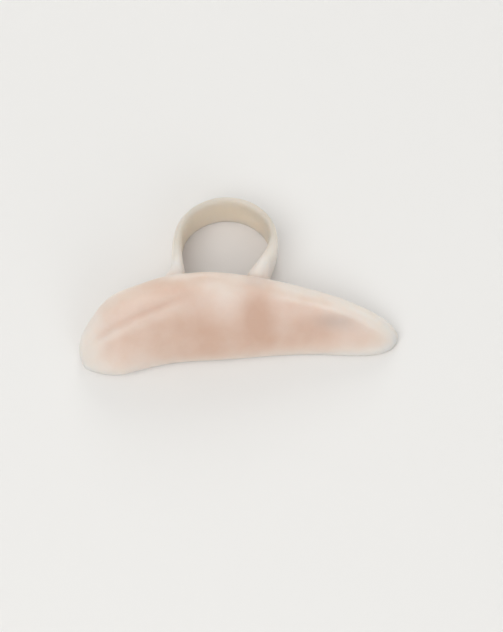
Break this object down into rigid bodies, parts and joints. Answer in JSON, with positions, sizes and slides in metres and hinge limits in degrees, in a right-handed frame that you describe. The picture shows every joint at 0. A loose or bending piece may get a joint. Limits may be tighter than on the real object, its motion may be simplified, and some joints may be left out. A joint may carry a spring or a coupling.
{
  "type": "gel toe crest pad with toe loop",
  "caption": "Soft translucent gel crest that fills the crease under the toes, moulded in one piece with a loop for the second toe.",
  "frame": {"origin": "on the flat root side that the piece rests on, under the middle of the crest's length", "axes": "+X along the crest from the big toe's side to the little toe's side, +Z along the toe from its root to its tip, -Y towards the ground in use, so the toe loop is on the +Y side"},
  "size_m": [0.0678, 0.0368, 0.0166],
  "materials": {
    "gel": "satin"
  },
  "bodies": {
    "root": {"gel_toe_pad": "gel"}
  },
  "joints": []
}
